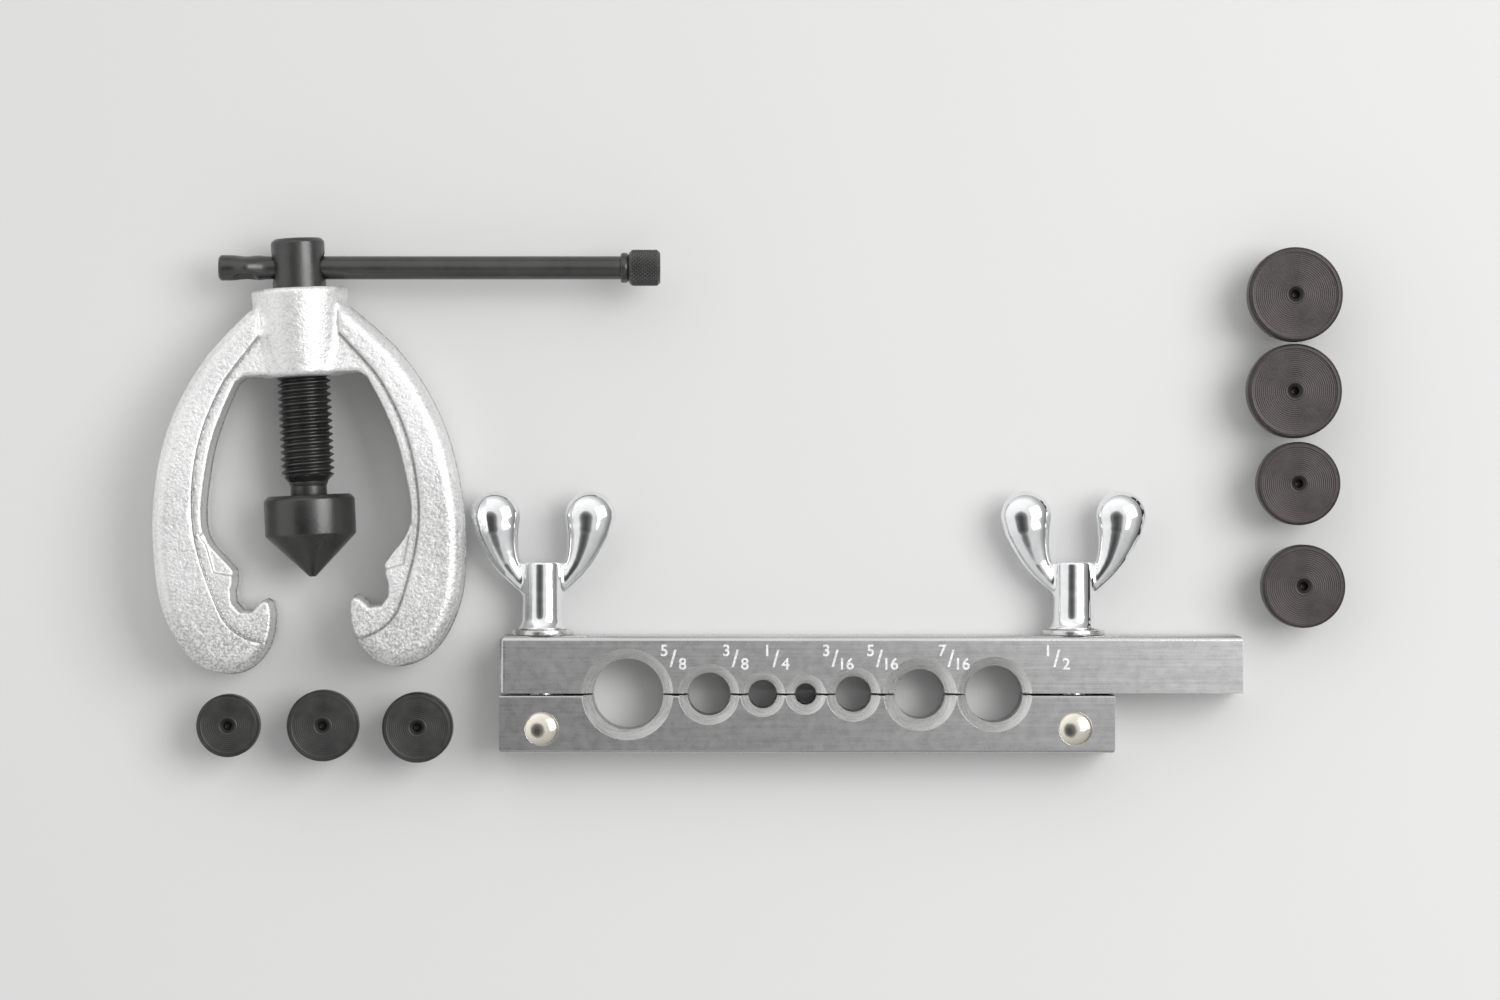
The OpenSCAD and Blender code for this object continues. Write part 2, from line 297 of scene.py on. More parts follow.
def surface(name, F, low, step, mat, matrix):
    """A smooth quad skin on the zero level of the field F, sampled every step mm from low."""
    inside = F < 0
    n = [s - 1 for s in F.shape]
    total = np.zeros((*n, 3))
    count = np.zeros(n)

    def corner(o):
        return tuple(slice(o[i], o[i] + n[i]) for i in range(3))
    for ax in range(3):
        others = [i for i in range(3) if i != ax]
        for a in (0, 1):
            for b in (0, 1):
                o = [0, 0, 0]
                o[others[0]], o[others[1]] = a, b
                q = list(o)
                q[ax] = 1
                f0, f1 = F[corner(o)], F[corner(q)]
                m = inside[corner(o)] != inside[corner(q)]
                t = np.where(m, f0 / np.where(m, f0 - f1, 1), 0)
                for i in range(3):
                    total[..., i] += np.where(m, o[i] + (t if i == ax else 0), 0)
                count += m
    active = count > 0
    cells = np.argwhere(active)
    P = cells + total[active] / count[active][:, None]
    index = np.full(n, -1)
    index[active] = np.arange(len(P))
    quads = []
    for ax in range(3):
        b, c = [(1, 2), (2, 0), (0, 1)][ax]
        sl0, sl1 = [slice(None)] * 3, [slice(None)] * 3
        sl0[ax], sl1[ax] = slice(0, -1), slice(1, None)
        i0, i1 = inside[tuple(sl0)], inside[tuple(sl1)]
        e = np.argwhere(i0 != i1)
        ok = (e[:, b] > 0) & (e[:, c] > 0) & (e[:, b] < n[b]) & (e[:, c] < n[c])
        e = e[ok]
        first = i0[tuple(e.T)]
        q = []
        for db, dc in ((-1, -1), (0, -1), (0, 0), (-1, 0)):
            g = e.copy()
            g[:, b] += db
            g[:, c] += dc
            q.append(index[tuple(g.T)])
        q = np.stack(q, 1)
        q[~first] = q[~first][:, ::-1]
        quads.append(q)
    Q = np.concatenate(quads)
    G = np.gradient(F)

    def sample(A, X):
        i = np.clip(np.floor(X).astype(int), 0, np.array(F.shape) - 2)
        f = X - i
        out = 0
        for a in (0, 1):
            for b in (0, 1):
                for c in (0, 1):
                    w = (np.where(a, f[:, 0], 1 - f[:, 0]) * np.where(b, f[:, 1], 1 - f[:, 1])
                         * np.where(c, f[:, 2], 1 - f[:, 2]))
                    out = out + w * A[i[:, 0] + a, i[:, 1] + b, i[:, 2] + c]
        return out
    for _ in range(2):
        g = np.stack([sample(a, P) for a in G], 1)
        s = np.clip(sample(F, P) / np.maximum((g ** 2).sum(1), 1e-9), -0.4, 0.4)
        P = P - g * s[:, None] * 0.8
    g = np.stack([sample(a, P) for a in G], 1)
    N = g / np.maximum(np.linalg.norm(g, axis=1), 1e-9)[:, None]
    X = (P * step + np.array(low)) * MM
    ob = finish_mesh(name, X.tolist(), Q.tolist(), mat, matrix, 180)
    return ob, P * step + np.array(low), N


def float_layer(ob, name, values):
    a = ob.data.attributes.new(name, "FLOAT", "POINT")
    a.data.foreach_set("value", np.asarray(values, np.float32))


# ---------------------------------------------------------------- materials

class Nodes:
    """A short way to build one material's nodes."""

    def __init__(self, name, color, metal=1.0, rough=0.3):
        self.mat = bpy.data.materials.new(name)
        self.mat.use_nodes = True
        self.nt = self.mat.node_tree
        self.b = self.nt.nodes["Principled BSDF"]
        self.b.inputs["Base Color"].default_value = (*color, 1)
        self.b.inputs["Metallic"].default_value = metal
        self.b.inputs["Roughness"].default_value = rough
        self.co = self.nt.nodes.new("ShaderNodeTexCoord").outputs["Object"]

    def node(self, kind, **values):
        n = self.nt.nodes.new("ShaderNode" + kind)
        for k, v in values.items():
            setattr(n, k, v)
        return n

    def link(self, a, b):
        self.nt.links.new(a, b)

    def stretched(self, scale, rot=(0, 0, 0)):
        m = self.node("Mapping")
        m.inputs["Scale"].default_value = scale
        m.inputs["Rotation"].default_value = rot
        self.link(self.co, m.inputs["Vector"])
        return m.outputs["Vector"]

    def noise(self, scale, detail=3, rough=0.55, vector=None):
        n = self.node("TexNoise")
        n.inputs["Scale"].default_value = scale
        n.inputs["Detail"].default_value = detail
        n.inputs["Roughness"].default_value = rough
        self.link(vector or self.co, n.inputs["Vector"])
        return n.outputs["Fac"]

    def ramp(self, value, stops):
        r = self.node("ValToRGB")
        e = r.color_ramp.elements
        while len(e) < len(stops):
            e.new(0.5)
        for el, (p, c) in zip(e, stops):
            el.position = p
            el.color = (*c, 1) if hasattr(c, "__len__") else (c, c, c, 1)
        self.link(value, r.inputs["Fac"])
        return r.outputs["Color"]

    def math(self, op, a, b):
        m = self.node("Math", operation=op)
        for i, v in enumerate((a, b)):
            if hasattr(v, "links"):
                self.link(v, m.inputs[i])
            else:
                m.inputs[i].default_value = v
        return m.outputs[0]

    def range(self, value, lo, hi, a=0.0, b=1.0):
        m = self.node("MapRange")
        m.inputs["From Min"].default_value = a
        m.inputs["From Max"].default_value = b
        m.inputs["To Min"].default_value = lo
        m.inputs["To Max"].default_value = hi
        self.link(value, m.inputs["Value"])
        return m.outputs["Result"]

    def mix(self, fac, a, b):
        m = self.node("Mix", data_type="RGBA")
        for s, v in ((m.inputs[0], fac), (m.inputs[6], a), (m.inputs[7], b)):
            if hasattr(v, "links"):
                self.link(v, s)
            elif hasattr(v, "__len__"):
                s.default_value = (*v, 1)
            else:
                s.default_value = v
        return m.outputs[2]

    def color(self, value):
        self.link(value, self.b.inputs["Base Color"])

    def roughness(self, value):
        self.link(value, self.b.inputs["Roughness"])

    def bump(self, height, distance, strength=1.0, under=None):
        n = self.node("Bump")
        n.inputs["Strength"].default_value = strength
        n.inputs["Distance"].default_value = distance
        self.link(height, n.inputs["Height"])
        if under is not None:
            self.link(under, n.inputs["Normal"])
        self.link(n.outputs["Normal"], self.b.inputs["Normal"])
        return n.outputs["Normal"]

    def attribute(self, name):
        a = self.node("Attribute", attribute_name=name)
        return a.outputs["Fac"]


def yoke_coat():
    m = Nodes("silver_casting", (0.9, 0.9, 0.89), 0.72, 0.34)
    fine = m.noise(1700, 3, 0.6)
    mid = m.noise(760, 3, 0.6)
    wide = m.noise(60, 3, 0.5)
    speck = m.ramp(fine, [(0.34, 0.60), (0.48, 0.88), (0.66, 1.0)])
    tone = m.ramp(wide, [(0.3, (0.80, 0.80, 0.795)), (0.7, (0.94, 0.94, 0.93))])
    both = m.mix(0.5, tone, speck)
    # painted shade: dark specks, thicker towards the bottom of the hooks and on the right arm's
    # outer flank, where less light falls
    shade_specks = m.math("MULTIPLY", m.attribute("painted_low_shade"), m.range(fine, 1.0, 0.25, 0.40, 0.56))
    low_shaded = m.mix(m.math("MULTIPLY", shade_specks, 0.62), both, (0.34, 0.335, 0.33))
    trimmed = m.mix(m.attribute("trim"), low_shaded, m.ramp(fine, [(0.38, 0.06), (0.62, 0.46)]))
    # painted shade: a thin dark line mixed in along the foot of each rim's crease and along the
    # notch edge
    m.color(m.mix(m.attribute("painted_crease_shade"), trimmed, (0.07, 0.065, 0.06)))
    m.roughness(m.range(mid, 0.34, 0.52, 0.3, 0.7))
    n = m.bump(mid, 0.00025, 0.7)
    m.bump(fine, 0.00016, 0.7, n)
    return m.mat


def jaw_metal(name, level, turn):
    m = Nodes(name, (level, level, level), 1.0, 0.28)
    lines = m.noise(1.0, 4, 0.65, m.stretched((38, 1700, 1700), (0, 0, math.radians(turn))))
    cloud = m.noise(85, 4, 0.6)
    blot = m.noise(420, 4, 0.6)
    tone = m.ramp(cloud, [(0.30, level * 0.96), (0.68, min(level * 1.04, 0.95))])
    streak = m.ramp(lines, [(0.34, level * 0.80), (0.66, min(level * 1.16, 0.98))])
    m.color(m.mix(0.45, tone, streak))
    m.roughness(m.range(blot, 0.25, 0.31, 0.3, 0.7))
    m.bump(lines, 0.00004, 0.3)
    return m.mat


def seat_metal():
    m = Nodes("machined_seat", (0.8, 0.8, 0.79), 0.94, 0.3)
    ring = m.noise(1.0, 3, 0.6, m.stretched((260, 260, 5200)))
    m.color(m.ramp(ring, [(0.3, (0.68, 0.68, 0.67)), (0.7, (0.94, 0.94, 0.93))]))
    m.roughness(m.range(ring, 0.24, 0.34, 0.3, 0.7))
    m.bump(ring, 0.00003, 0.4)
    return m.mat


def chrome():
    m = Nodes("polished_chrome", (0.90, 0.905, 0.91), 1.0, 0.07)
    wave = m.noise(110, 2, 0.4)
    haze = m.noise(420, 3, 0.6)
    m.roughness(m.range(haze, 0.05, 0.15, 0.3, 0.75))
    m.color(m.ramp(haze, [(0.3, (0.86, 0.87, 0.88)), (0.7, (0.95, 0.955, 0.96))]))
    m.bump(wave, 0.0005, 0.2)
    return m.mat


def zinc():
    m = Nodes("bright_zinc", (0.78, 0.78, 0.76), 1.0, 0.2)
    a = m.noise(500, 3, 0.6)
    m.color(m.ramp(a, [(0.3, (0.62, 0.62, 0.61)), (0.7, (0.86, 0.86, 0.84))]))
    m.roughness(m.range(a, 0.14, 0.32, 0.3, 0.7))
    m.bump(a, 0.0001, 0.4)
    return m.mat


def pin_polish():
    m = Nodes("warm_polish", (0.88, 0.85, 0.77), 1.0, 0.1)
    a = m.noise(300, 3, 0.5)
    m.color(m.ramp(a, [(0.3, (0.78, 0.74, 0.62)), (0.7, (0.88, 0.85, 0.76))]))
    m.roughness(m.range(a, 0.07, 0.18, 0.3, 0.7))
    m.bump(a, 0.0003, 0.2)
    return m.mat


def black_oxide(name, tint=(0.021, 0.0205, 0.0195), rough=(0.25, 0.36), lathe_marks=True):
    m = Nodes(name, tint, 0.1, rough[0])
    m.b.inputs["Specular IOR Level"].default_value = 1.0
    cloud = m.noise(120, 4, 0.6)
    fine = m.noise(1300, 2, 0.6)
    lo = tuple(c * 0.62 for c in tint)
    hi = tuple(c * 1.7 for c in tint)
    m.color(m.ramp(cloud, [(0.3, lo), (0.72, hi)]))
    m.roughness(m.range(cloud, rough[0], rough[1], 0.3, 0.7))
    n = m.bump(fine, 0.00006, 0.5)
    if lathe_marks:
        w = m.node("TexWave", wave_type="BANDS", bands_direction="Z")
        w.inputs["Scale"].default_value = 1500
        w.inputs["Distortion"].default_value = 2.5
        m.link(m.co, w.inputs["Vector"])
        m.bump(w.outputs["Fac"], 0.00002, 0.2, n)
    return m.mat


def adapter_face(name, tint):
    m = Nodes(name, tint, 0.6, 0.4)
    w = m.node("TexWave", wave_type="RINGS", rings_direction="Z")
    w.inputs["Scale"].default_value = 700
    w.inputs["Distortion"].default_value = 1.2
    w.inputs["Detail"].default_value = 2
    m.link(m.co, w.inputs["Vector"])
    cloud = m.noise(150, 4, 0.6)
    dark = tuple(c * 0.75 for c in tint)
    light = tuple(c * 1.45 for c in tint)
    base = m.ramp(cloud, [(0.3, dark), (0.72, light)])
    ring = m.ramp(w.outputs["Fac"], [(0.2, 0.8), (0.8, 1.0)])
    mul = m.node("Mix", data_type="RGBA", blend_type="MULTIPLY")
    mul.inputs[0].default_value = 0.7
    m.link(base, mul.inputs[6])
    m.link(ring, mul.inputs[7])
    m.color(mul.outputs[2])
    m.roughness(m.range(cloud, 0.34, 0.5, 0.3, 0.7))
    n = m.bump(w.outputs["Fac"], 0.00005, 0.5)
    m.bump(m.noise(1400, 2, 0.6), 0.00005, 0.5, n)
    return m.mat


def mark_paint():
    m = Nodes("stamped_mark", (0.9, 0.9, 0.89), 0.25, 0.45)
    a = m.noise(1500, 2, 0.6)
    m.color(m.ramp(a, [(0.3, (0.62, 0.62, 0.62)), (0.6, (0.95, 0.95, 0.94))]))
    return m.mat


YOKE = yoke_coat()
JAW = jaw_metal("plated_steel", 0.62, 0.4)
JAW_LOW = jaw_metal("plated_steel_low", 0.54, -0.3)
SEAT = seat_metal()
CHROME = chrome()
ZINC = zinc()
PIN = pin_polish()
BLACK = black_oxide("black_oxide")
CONE = black_oxide("black_oxide_turned", (0.018, 0.0175, 0.0165), (0.24, 0.34))
ADAPTER = adapter_face("turned_black", (0.056, 0.055, 0.054))
ADAPTER_WARM = adapter_face("turned_black_warm", (0.060, 0.052, 0.050))
MARK = mark_paint()

# ---------------------------------------------------------------- where things are

lo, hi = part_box("long_jaw")
jaw_lo, jaw_hi = lo / MM, hi / MM
lo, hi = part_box("short_jaw")
short_lo, short_hi = lo / MM, hi / MM
bar_t = jaw_hi.z
parting = (jaw_lo.y + short_hi.y) / 2
tube_holes = [m for m in frame["record"]["mounts"] if m["name"].startswith("tube_hole_")]
tube_x = [m["pos_m"][0] / MM for m in tube_holes]
tube_r = [m["dims"]["r_mm"] for m in tube_holes]
# the seat is a 45 degree cone, as deep as the straight hole is short of the bar
seat_r = [m["dims"]["r_mm"] + bar_t - m["dims"]["length_mm"] for m in tube_holes]


def centre(node):
    a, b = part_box(node)
    return (a + b) / 2 / MM


feed = next(j for j in frame["record"]["behaviour"]["joints"] if j["name"] == "feed_screw_turn")
feed_at = Vector(feed["pos_m"])
TURN = math.atan2(-feed["axis"][0], feed["axis"][1])
YK = Matrix.Translation(feed_at) @ Matrix.Rotation(TURN, 4, "Z")
ALONG = YK @ Matrix.Rotation(math.radians(-90), 4, "X")

# ---------------------------------------------------------------- yoke

# Outlines of the yoke's right half, in mm from the top of its boss. The left half mirrors it.
arm_outer = [(8, -3.2), (11.2, -4.6), (16.3, -9.2)] + smooth_points([
    (21, -14), (25.8, -20.8), (30.0, -29.1), (32.7, -37.6), (34.4, -47.6), (34.8, -56),
    (34.2, -66.3), (32.5, -73.3), (29, -80), (24.5, -84.1), (18.7, -85.7), (14.2, -84.5),
    (10.8, -81.2), (8.9, -77), (8.3, -72.6)], 4)
arm_tip = [(8.7, -69.8), (9.9, -68.9)]
arm_notch = [(11.4, -69.6), (13.3, -71.5), (15.4, -71.3), (16.9, -69.6), (17.1, -67.0),
             (16.5, -65.2), (16.5, -62.3)]
arm_inner = smooth_points([(18.9, -59.4), (21.2, -56.7), (22.6, -53.5), (22.8, -49), (22.0, -43),
                           (20.2, -34.7), (17.2, -26.9), (14.3, -21.0)], 4)
crease = smooth_points([(9.6, -78.6), (12.2, -78.4), (16.1, -76.6), (19.4, -73), (22.1, -65.8),
                        (24.2, -58.4), (25.1, -50), (24.4, -40.5), (22.6, -32.7), (20, -26.2),
                        (16.3, -19.6), (9, -10.8)], 3)
half_outline = ([(-6, -3.2)] + arm_outer + arm_tip + arm_notch + arm_inner
                + [(12.6, -19.8), (-6, -19.8)])


def yoke_field(ax):
    """Distance field of the forging: rims, web, boss, trimmed flash and screw bore."""
    bore_r = 6.06
    U2, V2 = np.meshgrid(ax[0], ax[1], indexing="ij")
    A2 = np.abs(U2)
    whole = polygon_distance(A2, V2, half_outline)
    rim = polygon_distance(A2, V2, crease + [(9, 6), (60, 6), (60, -95), (-2, -95), (-2, -79)])
    facet = polygon_distance(A2, V2, [(24, -54.5), (22.5, -56.7), (21.1, -62.8), (15.5, -63.9),
                                      (15.5, -60), (18, -57), (22, -53)])
    fold = line_distance(A2, V2, crease)
    v = ax[1]
    t = np.clip((-v - 8) / 36, 0, 1)
    half = 7.5 + 3.42 * t * t * (3 - 2 * t)
    W = np.abs(ax[2])[None, None, :]
    H = half[None, :, None]
    whole3, rim3 = whole[:, :, None] + 0.4, rim[:, :, None]
    rim_solid = block(block(whole3, W - H, 3.3), rim3, 0.55)
    web_solid = block(whole3, W - (H - 1.45), 0.8)
    F = blend_min(rim_solid, web_solid, 0.2)
    # a fine valley along the foot of the rim, and a shallow relief above the groove
    valley = np.sqrt(fold[:, :, None] ** 2 + (W - (H - 1.4)) ** 2) - 0.2
    F = blend_max(F, -valley, 0.2)
    F = blend_max(F, -np.maximum(facet[:, :, None], (H - 2.0) - W), 0.15)
    # boss, tapered, with a small lip at the top
    R = np.sqrt(U2[:, :, None] ** 2 + (ax[2] ** 2)[None, None, :])
    vv = V2[:, :, None]
    radius = 10.88 + (vv + 1.0) * 0.094
    boss = block(R - radius, np.maximum(vv + 0.17, -vv - 19.9), 1.15)
    F = blend_min(F, boss, 1.1)
    # rough land left where the flash was trimmed off
    flash = np.maximum(whole[:, :, None] + 0.04, W - 0.45)
    F = blend_min(F, flash, 0.35)
    bore = R - bore_r
    F = blend_max(F, -bore, 0.2)
    mouth = R - bore_r - np.maximum(vv + 0.7, 0)
    return np.maximum(F, -np.where(vv > -1, mouth, 9.0))


def yoke_layers(ob, P, N):
    """Marks the painted shade along the creases, the painted shade on the lower hooks and the right
    flank, and the trimmed flash land, for its material to read.
    """
    au = np.abs(P[:, 0])
    # painted shade along the foot of the rim's crease and along the notch edge
    line = line_distance(au, P[:, 1], crease) - 0.1
    notch = line_distance(au, P[:, 1], [(22.5, -56.7), (21.1, -62.8), (16.6, -63.8)])
    foot = np.maximum(np.exp(-(line / 0.24) ** 2), 0.7 * np.exp(-(notch / 0.22) ** 2))
    foot *= (np.abs(N[:, 2]) > 0.15) * (np.sqrt(P[:, 0] ** 2 + P[:, 2] ** 2) > 10.4)
    float_layer(ob, "painted_crease_shade", np.clip(foot, 0, 1) * 0.62)
    # painted shade: darker towards the bottom of the hooks and on the right arm's outer flank
    hook = np.clip((-P[:, 1] - 64) / 16, 0, 1)
    flank = np.exp(-((P[:, 0] - 33) / 8) ** 2 - ((P[:, 1] + 58) / 12) ** 2)
    float_layer(ob, "painted_low_shade", np.clip(hook * hook * (3 - 2 * hook) + 0.9 * flank, 0, 1))
    edge = polygon_distance(au, P[:, 1], half_outline)
    land = np.exp(-(P[:, 2] / 0.55) ** 4) * np.clip((edge + 0.4) / 0.25, 0, 1)
    float_layer(ob, "trim", land * 0.8)


def make_yoke():
    step = 0.36
    size = ((-36, 36), (-87.4, 1.2), (-11.8, 11.8))
    ax = [np.arange(a, b + step / 2, step) for a, b in size]
    F = yoke_field(ax).astype(np.float32)
    ob, P, N = surface("yoke_forging", F, [a[0] for a in ax], step, YOKE, YK)
    yoke_layers(ob, P, N)
    # the tilt goes into the mesh, so that the object's own box stays tight
    ob.data.transform(YK)
    ob.matrix_world = Matrix.Identity(4)
    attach(ob, "yoke_frame")
    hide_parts("yoke")


make_yoke()


# ---------------------------------------------------------------- wing nuts

def wing_field(ax):
    """Distance field of a wing nut: a barrel with two wings, and its bore."""
    X, Y, Z = np.meshgrid(*ax, indexing="ij")
    A = np.abs(X)
    R = np.sqrt(X ** 2 + Z ** 2)
    top = 15.2
    radius = 4.52 + 0.16 * np.clip((9 - Y) / 9, 0, 1) + 1.15 * np.clip((2.9 - Y) / 2.9, 0, 1) ** 2.2
    barrel = block(R - radius, np.maximum(-Y, Y - top), 0.45)
    # one wing: round cones of growing size along a bent spine, flattened front to back
    spine = smooth_points([(3.6, 9.2), (5.9, 12.0), (8.1, 15.3), (9.6, 19.2), (10.5, 23.0),
                           (10.72, 25.48)], 22)
    sizes = np.interp(np.linspace(0, 1, len(spine)), [0, 0.2, 0.4, 0.6, 0.8, 1.0],
                      [1.5, 2.2, 3.0, 4.1, 5.2, 5.68])
    flat = np.interp(np.linspace(0, 1, len(spine)), [0, 0.4, 1.0], [0.95, 0.80, 0.66])
    wing = np.full(X.shape, 1e9)
    for (a, b, ra, rb, fa, fb) in zip(spine, spine[1:], sizes, sizes[1:], flat, flat[1:]):
        e = b - a
        t = np.clip(((A - a[0]) * e[0] + (Y - a[1]) * e[1]) / (e @ e), 0, 1)
        r = ra + (rb - ra) * t
        f = fa + (fb - fa) * t
        d = np.sqrt((A - a[0] - t * e[0]) ** 2 + (Y - a[1] - t * e[1]) ** 2 + (Z / f) ** 2)
        wing = np.minimum(wing, (d - r) * 0.8)
    F = blend_min(barrel, wing, 0.9)
    bore = R - 3.06
    F = blend_max(F, -bore, 0.2)
    return F


def make_wing_nuts():
    step = 0.26
    size = ((-17.2, 17.2), (-0.8, 32.2), (-6.6, 6.6))
    ax = [np.arange(a, b + step / 2, step) for a, b in size]
    F = wing_field(ax).astype(np.float32)
    for side in ("left", "right"):
        node = f"{side}_wing_nut"
        a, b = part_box(node)
        c = (a + b) / 2
        place = Matrix.Translation((c.x, a.y, c.z))
        low = [q[0] for q in ax]
        ob = surface(f"{side}_wing_nut_casting", F, low, step, CHROME, place)[0]
        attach(ob, f"{side}_nut")
        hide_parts(node)


make_wing_nuts()


def thread(pitch, crest, root, z_low, z_high, chamfer=0.9, floor=0.0):
    """Radius of a right-hand screw thread whose ends fade out."""
    def radius(T, Z):
        t = (Z / pitch - T / (2 * math.pi)) % 1.0
        tri = np.abs(2 * t - 1)
        h = np.clip(tri * 1.32 - 0.12, 0, 1)
        h = h * h * (3 - 2 * h) * 0.35 + h * 0.65
        r = root + (crest - root) * h
        r = np.minimum(r, np.maximum(floor, crest - chamfer + np.maximum(Z - z_low, 0) * 1.0))
        r = np.minimum(r, np.maximum(floor, crest - chamfer + np.maximum(z_high - Z, 0) * 1.0))
        return r
    return radius


# ---------------------------------------------------------------- bar, bolts, pins, washers

def tube_tool(x, r, s):
    """Cutter for one tube hole: gripping rings in the bore and a flaring seat on top."""
    depth = s - r
    prof = [(0, -1), (r + 0.35, -1), (r + 0.35, -0.01), (r, 0.36)]
    z, end = 0.9, bar_t - depth - 0.7
    n = int((end - z) / 0.5) // 2 * 2
    for i in range(n + 1):
        prof.append((r + (0.2 if i % 2 else 0.0), z + (end - z) * i / n))
    prof += [(r, bar_t - depth), (s, bar_t), (s + 1, bar_t + 1), (0, bar_t + 1)]
    verts, faces = lathe_arrays(prof, 88)
    return finish_mesh("tool", verts, faces, JAW,
                       Matrix.Translation((x * MM, parting * MM, 0)))


def box_mesh(lo, hi):
    """An open bmesh of the box between two corners."""
    bm = bmesh.new()
    bmesh.ops.create_cube(bm, size=1)
    for v in bm.verts:
        v.co = Vector([(lo[i] + hi[i]) / 2 + v.co[i] * (hi[i] - lo[i]) for i in range(3)]) * MM
    return bm


def mesh_object(name, bm):
    """Turns an open bmesh into an object in the scene."""
    me = bpy.data.meshes.new(name)
    bm.to_mesh(me)
    bm.free()
    ob = bpy.data.objects.new(name, me)
    bpy.context.scene.collection.objects.link(ob)
    return ob


def box_tool(lo, hi):
    return mesh_object("tool", box_mesh(lo, hi))


def bolt_bore(x, r):
    verts, faces = lathe_arrays([(0, -40), (r, -40), (r, 40), (0, 40)], 64)
    return finish_mesh("tool", verts, faces, JAW, Matrix.Translation(
        (x * MM, parting * MM, bar_t / 2 * MM)) @ Matrix.Rotation(math.radians(-90), 4, "X"))


bolt_x = [centre("left_swing_bolt").x, centre("right_swing_bolt").x]
pin_y = centre("left_pivot_pin").y


def paint(ob, *mats):
    """Gives ob these materials in place of its own."""
    ob.data.materials.clear()
    for m in mats:
        ob.data.materials.append(m)


def mark_seats(ob):
    """Gives the second material to the sloping faces round the tube holes."""
    for f in ob.data.polygons:
        c = f.center / MM
        near = min(abs(math.hypot(c.x - x, c.y - parting) - (r + s) / 2) - (s - r) / 2
                   for x, r, s in zip(tube_x, tube_r, seat_r))
        f.material_index = int(near < 0.25 and 0.5 < f.normal.z < 0.9)


def make_jaw(name, lo, hi, outer, tools, body, node, mat):
    """One jaw. outer is 1 for the long jaw and -1 for the short jaw, whose lip is bevelled."""
    bm = box_mesh(lo, hi)
    side = max if outer > 0 else min
    y = side(v.co.y for v in bm.verts)
    x = lo[0] * MM
    wide = [e for e in bm.edges if all(abs(v.co.y - y) < 1e-6 for v in e.verts)
            or (outer > 0 and all(abs(v.co.x - x) < 1e-6 for v in e.verts))]
    bmesh.ops.bevel(bm, geom=wide, offset=(1.25 if outer > 0 else 0.7) * MM, segments=5,
                    profile=0.5, affect="EDGES")
    if outer < 0:
        lip_y, lip_z = (hi[1] - 0.01) * MM, (hi[2] - 0.01) * MM
        lip = [e for e in bm.edges
               if all(v.co.y > lip_y and v.co.z > lip_z for v in e.verts)]
        bmesh.ops.bevel(bm, geom=lip, offset=0.5 * MM, segments=3, profile=0.5, affect="EDGES")
    ob = mesh_object(name, bm)
    ob.data.materials.append(mat)
    cut(ob, *tools)
    soften(ob, 0.22, 40)
    paint(ob, mat, SEAT)
    mark_seats(ob)
    shade(ob, 35)
    m = ob.modifiers.new("flat faces", "WEIGHTED_NORMAL")
    m.keep_sharp = True
    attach(ob, body)
    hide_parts(node)
    return ob


def tube_tools():
    return [tube_tool(x, r, s) for x, r, s in zip(tube_x, tube_r, seat_r)]


def make_bar():
    # the long jaw has two round bolt holes, the left one open to the jaw's end
    bore = 3.6
    tools = tube_tools() + [bolt_bore(x, bore) for x in bolt_x]
    tools.append(box_tool((jaw_lo.x - 2, parting - 2, bar_t / 2 - bore),
                          (bolt_x[0], jaw_hi.y + 2, bar_t / 2 + bore)))
    make_jaw("long_jaw_bar", jaw_lo, jaw_hi, 1, tools, "bar", "long_jaw", JAW)
    # the short jaw has two slots for the eyes of the bolts
    wide, high = 5.1, 4.1
    tools = tube_tools()
    tools += [box_tool((x - wide, short_lo.y - 2, bar_t / 2 - high),
                       (x + wide, short_hi.y + 2, bar_t / 2 + high)) for x in bolt_x]
    make_jaw("short_jaw_bar", short_lo, short_hi, -1, tools, "lower_jaw", "short_jaw", JAW_LOW)


make_bar()


def make_washer(side, at):
    node = f"{side}_washer"
    bore, rim, thick = 3.6, 6.97, 1.18
    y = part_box(node)[0].y / MM
    ob = turned(f"{side}_washer_ring", [(bore, 0), (rim, 0), (rim, thick), (bore, thick)], ZINC,
                at(y), 96, 0.3, 3, closed=True)
    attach(ob, "bar")
    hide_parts(node)


def make_eye_bolt(side, at):
    """A threaded shank and a rounded eye that hangs on the pin."""
    node = f"{side}_swing_bolt"
    shank_r, crest, root, threaded = 2.95, 2.96, 2.4, 19.5
    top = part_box(node)[1].y / MM - pin_y
    low = top - threaded
    shank = turned("shank", [(0, 2.8), (shank_r, 2.8), (shank_r, low)], ZINC, at(pin_y), 64, 0)
    screw = grid_turned("screw", low, top, 300, 64, thread(1.0, crest, root, low, top, 0.56, root),
                        ZINC, at(pin_y), (False, True))
    eye = turned("eye", [(2.55, -3.75), (4.2, -3.75), (4.75, -3.0), (4.75, 3.0), (4.2, 3.75),
                         (2.55, 3.75)], ZINC, Matrix.Translation(at(pin_y).translation),
                 72, 0.4, 3, closed=True)
    ob = join(f"{side}_eye_bolt", [shank, screw, eye])
    shade(ob, 50)
    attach(ob, "lower_jaw")
    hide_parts(node)


